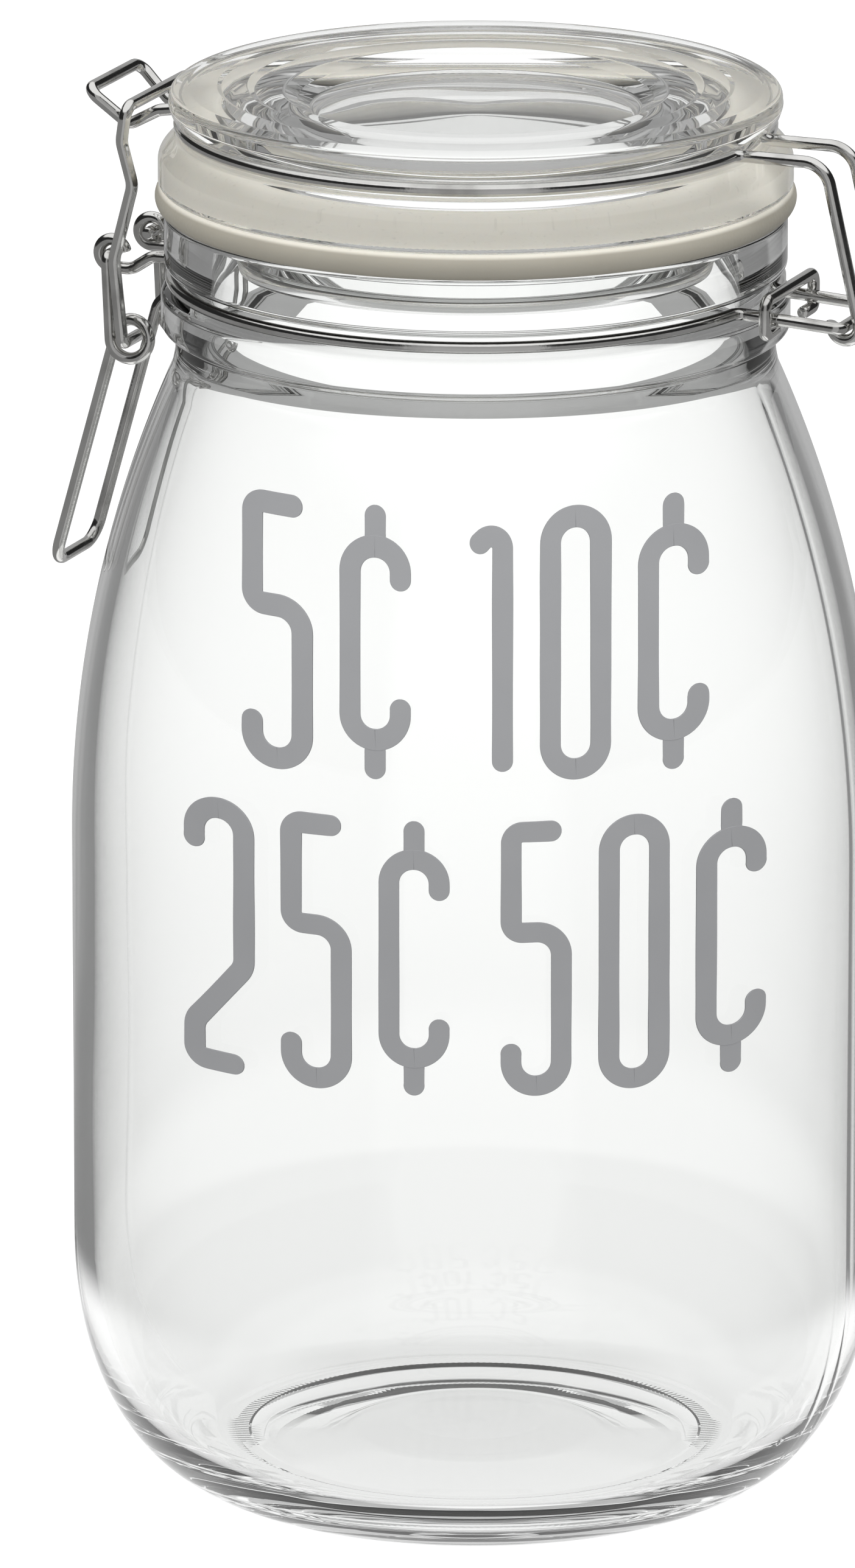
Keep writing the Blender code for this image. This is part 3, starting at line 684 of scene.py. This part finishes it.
def make_floor():
    """A pale floor; what the glass mirrors of it turns dark a little way from the jar."""
    mesh_builder = bmesh.new()
    bmesh.ops.create_circle(mesh_builder, cap_ends=True, segments=96, radius=FLOOR_RADIUS)
    mesh = bpy.data.meshes.new("floor")
    mesh_builder.to_mesh(mesh)
    mesh_builder.free()
    floor = bpy.data.objects.new("floor", mesh)
    floor.location.z = -FLOOR_DROP
    bpy.context.scene.collection.objects.link(floor)
    material = bpy.data.materials.new("pale_floor")
    material.use_nodes = True
    material.node_tree.nodes.clear()
    nodes = Nodes(material.node_tree)
    path = nodes.add("LightPath").outputs
    seen_by_mirror = nodes.math("GREATER_THAN", path["Glossy Depth"], 0.5)
    place = nodes.add("NewGeometry").outputs["Position"]
    away = nodes.add("VectorMath", {"operation": "LENGTH"}, i0=place).outputs["Value"]
    at_sides = nodes.math("MULTIPLY", side_darkness(nodes, place), 1.0 - FLOOR_DARKNESS)
    amount = nodes.math("ADD", at_sides, FLOOR_DARKNESS)
    far = nodes.step(away, FLOOR_DARK_START, FLOOR_DARK_END)
    dark = nodes.math("MULTIPLY", nodes.math("MULTIPLY", seen_by_mirror, far), amount)
    through_glass = nodes.math("GREATER_THAN", path["Transmission Depth"], 0.5)
    near = nodes.math("SUBTRACT", 1.0, nodes.step(away, FLOOR_NEAR_START, FLOOR_NEAR_END))
    plain = nodes.mix(nodes.math("MULTIPLY", through_glass, near), FLOOR_WHITE, FLOOR_UNDER_GLASS)
    glow = nodes.add("Emission", Color=nodes.mix(dark, plain, DARK))
    matte = nodes.add("BsdfDiffuse", Color=FLOOR_MATTE)
    both = nodes.add("AddShader", i0=glow.outputs[0], i1=matte.outputs[0])
    nodes.add("OutputMaterial", Surface=both.outputs[0])
    mesh.materials.append(material)


def make_world():
    """White to the camera; to the glass and wires, a room that is bright above and dark low down."""
    world = bpy.data.worlds.new("studio")
    bpy.context.scene.world = world
    world.use_nodes = True
    world.node_tree.nodes.clear()
    nodes = Nodes(world.node_tree)
    path = nodes.add("LightPath").outputs
    direction = nodes.add("TexCoord").outputs["Generated"]
    height = nodes.add("SeparateXYZ", i0=direction).outputs[2]
    low = nodes.math("SUBTRACT", 1.0, nodes.step(height, ROOM_DARK_START, ROOM_DARK_END))
    at_sides = nodes.math("MULTIPLY", side_darkness(nodes, direction), 1.0 - ROOM_DARKNESS)
    amount = nodes.math("ADD", at_sides, ROOM_DARKNESS)
    bounces = nodes.math("ADD", path["Glossy Depth"], path["Transmission Depth"])
    seen_by_glass = nodes.math("GREATER_THAN", bounces, 0.5)
    dark = nodes.math("MULTIPLY", nodes.math("MULTIPLY", amount, low), seen_by_glass)
    glow = nodes.mix(dark, ROOM_WHITE, DARK)
    background = nodes.add("Background", Color=glow, Strength=1.0)
    nodes.add("OutputWorld", Surface=background.outputs[0])


def make_overhead_light():
    """A wide soft light for the matte pieces; the glass and wires see the world instead."""
    data = bpy.data.lights.new("overhead", "SUN")
    data.energy, data.angle = OVERHEAD_STRENGTH, OVERHEAD_SPREAD
    light = bpy.data.objects.new("overhead", data)
    light.rotation_euler = (OVERHEAD_TILT, 0.0, VIEW_TURN)
    light.visible_glossy = light.visible_transmission = False
    bpy.context.scene.collection.objects.link(light)


def set_view():
    """Plain colours, and enough bounces for light to get through both walls and the lid."""
    scene = bpy.context.scene
    scene.view_settings.view_transform = "Standard"
    scene.view_settings.look = "None"
    scene.cycles.max_bounces = 40
    scene.cycles.transmission_bounces = 36
    scene.cycles.glossy_bounces = 24
    scene.cycles.transparent_max_bounces = 16
    scene.cycles.caustics_reflective = False
    scene.cycles.caustics_refractive = False


make_camera()
make_floor()
make_world()
make_overhead_light()
set_view()

jar_points = jar_outline()
jar_inner_start = max(range(len(jar_points)), key=lambda i: jar_points[i][1]) + 2
jar_glass = glass_material("clear_jar_glass", 0.06)
lid_glass = glass_material("clear_lid_glass", 0.04)
wire = wire_material()
rubber = rubber_material()
vinyl = print_material()

jar = show("jar_glass", turned_mesh("jar_glass", jar_points, JAR_SEGMENTS, jar_shape), jar_glass,
           "jar", "glass", "jar_body_glass")
lid = show("pressed_lid", turned_mesh("pressed_lid", lid_outline(), LID_SEGMENTS, lid_shape), lid_glass,
           "lid", "glass", "lid_glass")
for clear in (jar, lid):
    clear.visible_shadow = False
show("rubber_ring", turned_mesh("rubber_ring", rubber_outline(), RUBBER_SEGMENTS), rubber,
     "lid", "rubber", "seal_ring")
for label, corners, body, node in (("collar", collar_corners(), "jar", "neck_collar_wire"),
                                   ("hinge_clip", clip_corners(), "jar", "hinge_clip_wire"),
                                   ("lid_bail", lid_wire_corners(), "lid", "lid_bail_wire"),
                                   ("link", link_corners(), "link", "latch_link_wire"),
                                   ("lever", lever_corners(), "lever", "latch_lever_wire")):
    show(label, wire_mesh(label, corners), wire, body, "wire", node)
print_row("top", ("5c", "10c"), *TOP_ROW, vinyl)
print_row("bottom", ("25c", "50c"), *BOTTOM_ROW, vinyl)
